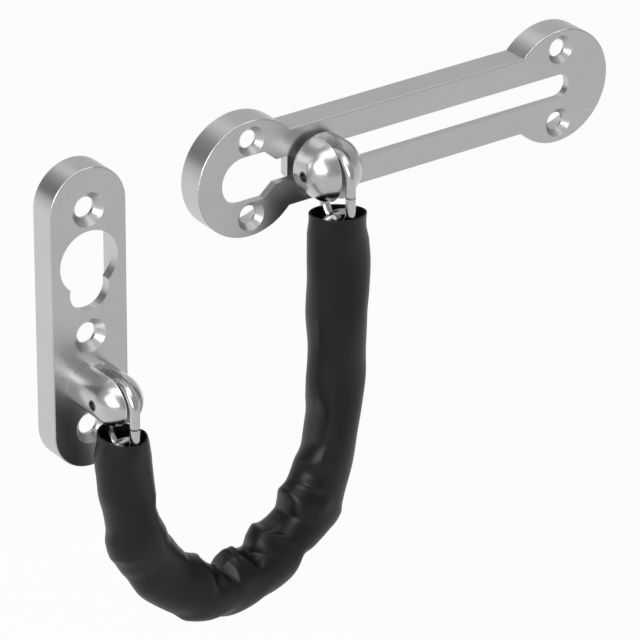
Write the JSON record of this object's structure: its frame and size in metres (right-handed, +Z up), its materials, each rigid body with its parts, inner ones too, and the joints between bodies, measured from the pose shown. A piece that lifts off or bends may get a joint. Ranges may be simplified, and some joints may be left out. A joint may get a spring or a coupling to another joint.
{
  "type": "door chain",
  "caption": "Door chain: a slotted door plate with a keyhole and a slider, a frame plate with a parking keyhole and a post, and a sleeved link chain hanging between them.",
  "frame": {"origin": "middle of the door plate's four screw holes, on the plane of both plates' backs", "axes": "+X to the right along the door plate and away from the frame plate, +Y into the door and frame, +Z up along the frame plate"},
  "size_m": [0.1636, 0.028, 0.1234],
  "materials": {
    "door_plate_steel": "fine brushed, horizontal grain",
    "frame_plate_steel": "fine brushed, vertical grain",
    "post_steel": "turned, satin",
    "slider_steel": "turned and polished",
    "foot_steel": "satin",
    "pin_steel": "satin",
    "link_steel": "drawn wire, polished",
    "sleeve_black": "soft satin"
  },
  "bodies": {
    "plates": {"frame_plate": "frame_plate_steel", "frame_post": "post_steel", "post_pin": "pin_steel", "door_plate": "door_plate_steel"},
    "slider": {"slider_head": "slider_steel", "slider_foot": "foot_steel", "slider_pin": "pin_steel"},
    "link_01": {"link_01": "link_steel", "sleeve": "sleeve_black"},
    "link_02": {"link_02": "link_steel"},
    "link_03": {"link_03": "link_steel"},
    "link_04": {"link_04": "link_steel"},
    "link_05": {"link_05": "link_steel"},
    "link_06": {"link_06": "link_steel"},
    "link_07": {"link_07": "link_steel"},
    "link_08": {"link_08": "link_steel"},
    "link_09": {"link_09": "link_steel"},
    "link_10": {"link_10": "link_steel"},
    "link_11": {"link_11": "link_steel"},
    "link_12": {"link_12": "link_steel"},
    "link_13": {"link_13": "link_steel"}
  },
  "joints": [
    {"name": "slider_slide", "type": "slide", "parent": "plates", "child": "slider", "axis": [1, 0, 0], "range_m": [-0.0185, 0.0735], "deforming": ["sleeve"]},
    {"name": "link_01_turn", "type": "hinge", "parent": "plates", "child": "link_01", "pos_m": [-0.09195, -0.0171, -0.0402], "axis": [0, -1, 0], "range_deg": [-0.9, 2.7]},
    {"name": "link_02_turn", "type": "hinge", "parent": "link_01", "child": "link_02", "pos_m": [-0.09195, -0.01983, -0.05339], "axis": [0, -1, 0], "range_deg": [-12.3, 48]},
    {"name": "link_03_turn", "type": "hinge", "parent": "link_02", "child": "link_03", "pos_m": [-0.09042, -0.01952, -0.0663], "axis": [0, -1, 0], "range_deg": [-1.2, 4]},
    {"name": "link_04_turn", "type": "hinge", "parent": "link_03", "child": "link_04", "pos_m": [-0.085, -0.0192, -0.08357], "axis": [0, -1, 0], "range_deg": [-20.1, 5.2]},
    {"name": "link_05_turn", "type": "hinge", "parent": "link_04", "child": "link_05", "pos_m": [-0.07716, -0.01888, -0.09394], "axis": [0, -1, 0], "range_deg": [-34.4, 8.8]},
    {"name": "link_13_turn", "type": "hinge", "parent": "slider", "child": "link_13", "pos_m": [-0.0278, -0.0133, 0], "axis": [0, -1, 0], "range_deg": [-2.7, 0.9]},
    {"name": "link_12_turn", "type": "hinge", "parent": "link_13", "child": "link_12", "pos_m": [-0.0278, -0.01667, -0.01319], "axis": [0, -1, 0], "range_deg": [-28.2, 7.3]},
    {"name": "link_11_turn", "type": "hinge", "parent": "link_12", "child": "link_11", "pos_m": [-0.02785, -0.01698, -0.02619], "axis": [0, -1, 0], "range_deg": [-8.2, 2.3]},
    {"name": "link_10_turn", "type": "hinge", "parent": "link_11", "child": "link_10", "pos_m": [-0.02816, -0.0173, -0.04429], "axis": [0, -1, 0], "range_deg": [-0.6, 0.3]},
    {"name": "link_09_turn", "type": "hinge", "parent": "link_10", "child": "link_09", "pos_m": [-0.02896, -0.01762, -0.05726], "axis": [0, -1, 0], "range_deg": [-0.9, 2.8]},
    {"name": "link_08_turn", "type": "hinge", "parent": "link_09", "child": "link_08", "pos_m": [-0.03218, -0.01793, -0.07508], "axis": [0, -1, 0], "range_deg": [-1.9, 6.7]},
    {"name": "link_07_turn", "type": "hinge", "parent": "link_08", "child": "link_07", "pos_m": [-0.03754, -0.01825, -0.08692], "axis": [0, -1, 0], "range_deg": [-2.9, 11]},
    {"name": "link_06_turn", "type": "hinge", "parent": "link_07", "child": "link_06", "pos_m": [-0.05102, -0.01857, -0.099], "axis": [0, -1, 0], "range_deg": [-5, 19.3]}
  ],
  "couplings": [
    {"joint": "link_01_turn", "follows": "slider_slide", "rad_per_m": 0.5699},
    {"joint": "link_02_turn", "follows": "slider_slide", "rad_per_m": 11.346},
    {"joint": "link_03_turn", "follows": "slider_slide", "rad_per_m": 0.88624},
    {"joint": "link_04_turn", "follows": "slider_slide", "rad_per_m": -4.7028},
    {"joint": "link_05_turn", "follows": "slider_slide", "rad_per_m": -8.099},
    {"joint": "link_13_turn", "follows": "slider_slide", "rad_per_m": -0.5699},
    {"joint": "link_12_turn", "follows": "slider_slide", "rad_per_m": -6.6251},
    {"joint": "link_11_turn", "follows": "slider_slide", "rad_per_m": -1.8987},
    {"joint": "link_10_turn", "follows": "slider_slide", "rad_per_m": -0.092149},
    {"joint": "link_09_turn", "follows": "slider_slide", "rad_per_m": 0.60732},
    {"joint": "link_08_turn", "follows": "slider_slide", "rad_per_m": 1.5209},
    {"joint": "link_07_turn", "follows": "slider_slide", "rad_per_m": 2.5428},
    {"joint": "link_06_turn", "follows": "slider_slide", "rad_per_m": 4.5148}
  ]
}
